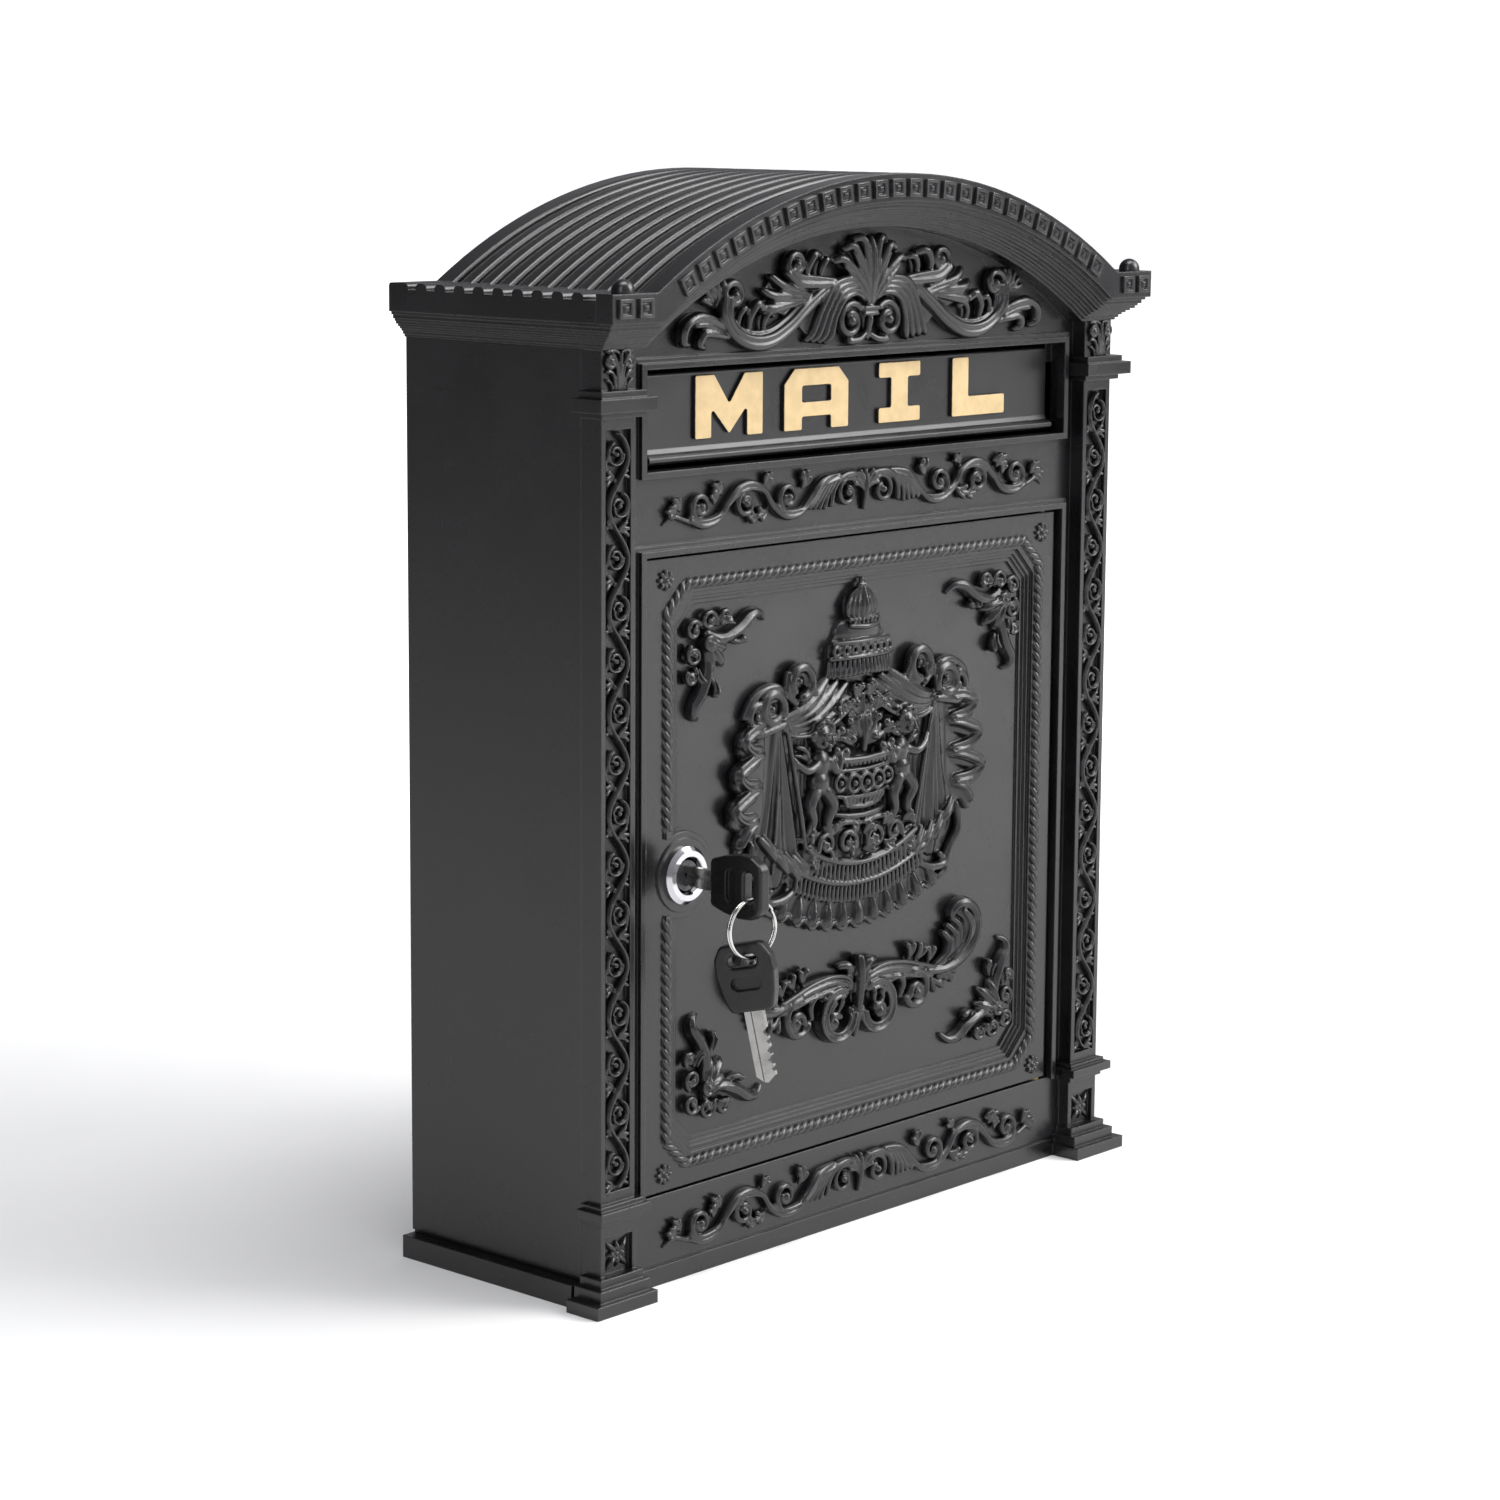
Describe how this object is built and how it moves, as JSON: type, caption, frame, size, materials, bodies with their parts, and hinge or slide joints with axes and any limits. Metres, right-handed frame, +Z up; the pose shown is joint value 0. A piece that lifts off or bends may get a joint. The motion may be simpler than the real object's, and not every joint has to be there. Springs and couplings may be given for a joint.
{
  "type": "wall mounted mailbox",
  "caption": "Wall mounted cast mailbox with an arched ribbed roof, lifting letter flap, side-hinged front door, cam lock and keys on a split ring.",
  "frame": {"origin": "on the wall plane, at the middle of the width and level with the underside of the foot", "axes": "+Z up, +Y into the wall, +X to the right as seen from the front"},
  "size_m": [0.33, 0.1474, 0.43],
  "materials": {
    "cast_black": "satin black paint on cast aluminium",
    "sheet_black": "satin black paint on aluminium sheet",
    "gold_paint": "pale gold paint on the letter faces",
    "chrome": "polished chrome",
    "plug_steel": "dark machined steel",
    "zinc_steel": "bright zinc plate",
    "brass": "plain brass",
    "black_plastic": "moulded black plastic",
    "key_steel": "nickel plated key blade",
    "ring_nickel": "bright nickel"
  },
  "bodies": {
    "cabinet": {"front_frame": "cast_black", "side_panel_left": "cast_black", "side_panel_right": "cast_black", "back_panel": "sheet_black", "bottom_panel": "sheet_black", "roof": "cast_black", "roof_knobs": "cast_black", "hinge_pin_lower": "zinc_steel", "hinge_pin_upper": "zinc_steel", "hinge_washer": "brass", "flap_rod": "zinc_steel", "side_screws": "zinc_steel", "back_screws": "zinc_steel", "roof_screws": "zinc_steel", "bottom_screws": "zinc_steel"},
    "door_leaf": {"door": "cast_black", "lock_housing": "chrome", "lock_washer": "zinc_steel", "lock_nut": "zinc_steel"},
    "flap": {"slot_flap": "cast_black", "letter_m": "gold_paint", "letter_a": "gold_paint", "letter_i": "gold_paint", "letter_l": "gold_paint"},
    "plug": {"lock_plug": "plug_steel", "lock_cam": "zinc_steel", "cam_screw": "zinc_steel"},
    "key": {"key_blade": "key_steel", "key_bow": "black_plastic"},
    "ring": {"split_ring": "ring_nickel"},
    "spare_key": {"spare_key_blade": "key_steel", "spare_key_bow": "black_plastic"}
  },
  "joints": [
    {"name": "door_swing", "type": "hinge", "parent": "cabinet", "child": "door_leaf", "pos_m": [0.121, -0.0965, 0.161], "axis": [0, 0, 1], "range_deg": [0, 90]},
    {"name": "flap_lift", "type": "hinge", "parent": "cabinet", "child": "flap", "pos_m": [0, -0.0922, 0.3532], "axis": [-1, 0, 0], "range_deg": [0, 65]},
    {"name": "lock_turn", "type": "hinge", "parent": "door_leaf", "child": "plug", "pos_m": [-0.105, -0.095, 0.1617], "axis": [0, 1, 0], "range_deg": [0, 90]},
    {"name": "key_pull", "type": "slide", "parent": "plug", "child": "key", "axis": [0, -1, 0], "range_m": [0, 0.03]},
    {"name": "ring_sway", "type": "hinge", "parent": "key", "child": "ring", "pos_m": [-0.105, -0.1368, 0.15325], "axis": [0, 1, 0], "range_deg": [-60, 60]},
    {"name": "spare_key_swing", "type": "hinge", "parent": "ring", "child": "spare_key", "pos_m": [-0.105, -0.1368, 0.1347], "axis": [-0.9537, -0.3007, 0], "range_deg": [-15, 15]}
  ]
}
